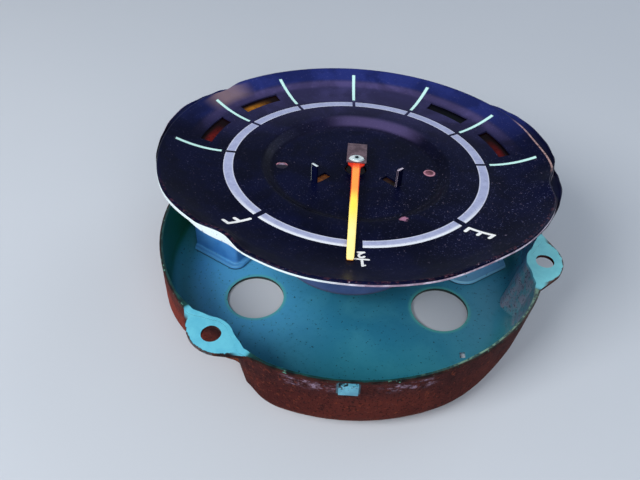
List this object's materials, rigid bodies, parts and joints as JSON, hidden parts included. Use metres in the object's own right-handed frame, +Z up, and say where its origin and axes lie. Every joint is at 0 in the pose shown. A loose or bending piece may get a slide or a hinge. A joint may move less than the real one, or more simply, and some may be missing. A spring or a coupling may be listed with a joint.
{
  "type": "car fuel gauge",
  "caption": "Round car fuel gauge: a dark dial and moving-iron movement standing askew in its shallow turquoise steel can, with light boxes and a turning pointer",
  "frame": {"origin": "On the can's axis, in the plane of its underside, which stands on the surface", "axes": "+Z up along the can's axis; the half-full mark faces -Y, where the picture was taken from; +X to the right in the picture"},
  "size_m": [0.1099, 0.1099, 0.0445],
  "materials": {
    "turquoise_paint": "old turquoise paint inside, rusty brown outside",
    "pale_blue_paint": "pale blue paint",
    "dial_black": "blue-black satin paint with pale printing",
    "copper_rivet": "dull",
    "red_film": "clear coloured film",
    "amber_film": "clear coloured film",
    "green_film": "clear coloured film",
    "dark_red_film": "clear coloured film",
    "plated_steel": "dull plating",
    "cup_paint": "grey-lilac, satin",
    "brass_parts": "tarnished",
    "soft_iron": "oxidised",
    "bobbin_fibre": "laminated fibre",
    "copper_wire": "lacquered copper",
    "insulator_red": "pressed fibre",
    "spindle_steel": "polished",
    "damper_aluminium": "plain",
    "pointer_paint": "fluorescent orange turning to yellow",
    "blackened_metal": "matt black",
    "cap_metal": "bright"
  },
  "bodies": {
    "can": {"housing_can": "turquoise_paint", "light_box_left": "pale_blue_paint", "light_box_right": "pale_blue_paint"},
    "gauge_unit": {"dial_plate": "dial_black", "dial_rivets": "copper_rivet", "filter_red_left": "red_film", "filter_amber": "amber_film", "filter_green": "green_film", "filter_red_right": "dark_red_film", "movement_plate": "plated_steel", "movement_cup": "cup_paint", "frame_pillars": "brass_parts", "base_plate": "plated_steel", "upper_bush": "brass_parts", "lower_pivot_screw": "brass_parts", "empty_coil_core": "soft_iron", "full_coil_core": "soft_iron", "empty_coil_bobbin": "bobbin_fibre", "full_coil_bobbin": "bobbin_fibre", "empty_coil_winding": "copper_wire", "full_coil_winding": "copper_wire", "core_screws": "plated_steel", "terminal_board": "bobbin_fibre", "board_spacers": "brass_parts", "resistor_card": "bobbin_fibre", "terminal_studs": "brass_parts", "stud_insulators": "insulator_red", "stud_washers": "plated_steel", "stud_nuts": "brass_parts"},
    "pointer": {"spindle": "spindle_steel", "armature": "soft_iron", "damper_disc": "damper_aluminium", "hub_collet": "brass_parts", "pointer_blade": "pointer_paint", "pointer_tail": "blackened_metal", "hub_cap": "cap_metal"}
  },
  "joints": [
    {"name": "unit_lift", "type": "slide", "parent": "can", "child": "gauge_unit", "axis": [0, 0, 1], "range_m": [0, 0.04]},
    {"name": "pointer_turn", "type": "hinge", "parent": "gauge_unit", "child": "pointer", "pos_m": [0.00001, 0.00426, 0.03698], "axis": [0.0219, 0.0717, 0.9972], "range_deg": [-45.2, 51.6]}
  ]
}
